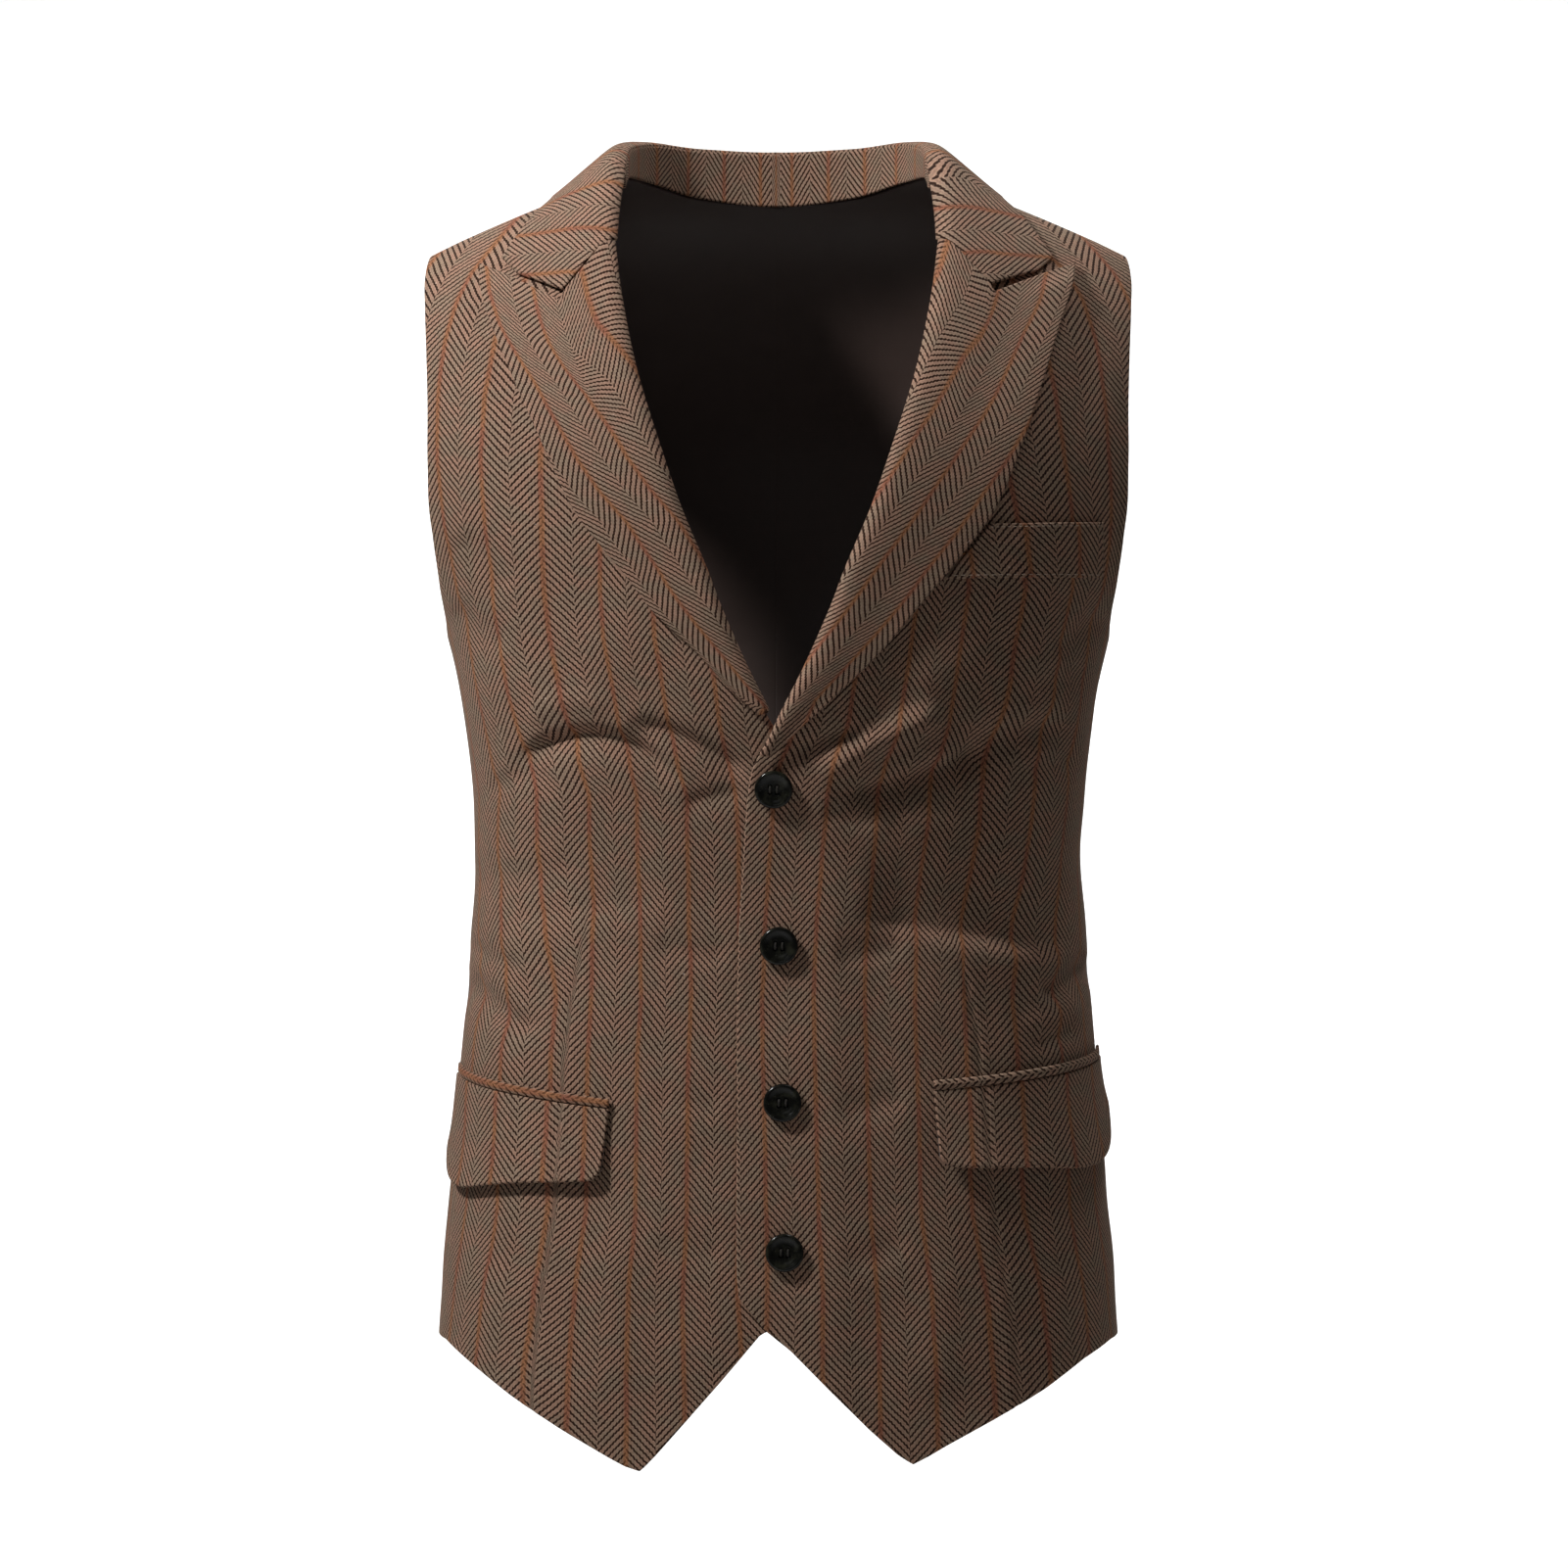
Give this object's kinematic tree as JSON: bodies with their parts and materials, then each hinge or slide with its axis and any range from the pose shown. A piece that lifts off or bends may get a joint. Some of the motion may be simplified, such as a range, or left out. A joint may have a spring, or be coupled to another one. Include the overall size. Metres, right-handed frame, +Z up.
{
  "type": "suit waistcoat",
  "caption": "Single-breasted tweed suit waistcoat with peak lapels, a collar round the neck, flap pockets, a breast welt and a pointed hem, hollow as worn.",
  "frame": {"origin": "midway between the wearer's shoulders, level with the middle of the shoulder seams", "axes": "+Z up, -Y out of the wearer's chest, +X to the wearer's left"},
  "size_m": [0.362, 0.2314, 0.6753],
  "materials": {
    "tweed": "matt herringbone tweed with a rust stripe",
    "back_cloth": "plain brown lining satin",
    "button": "polished, near black"
  },
  "bodies": {
    "root": {"front_left": "tweed", "front_right": "tweed", "lapel_left": "tweed", "lapel_right": "tweed", "collar": "tweed", "collar_stand": "tweed", "jet_left": "tweed", "jet_right": "tweed", "flap_left": "tweed", "flap_right": "tweed", "breast_welt": "tweed", "back_left": "back_cloth", "back_right": "back_cloth", "button_1": "button", "button_2": "button", "button_3": "button", "button_4": "button"}
  },
  "joints": []
}
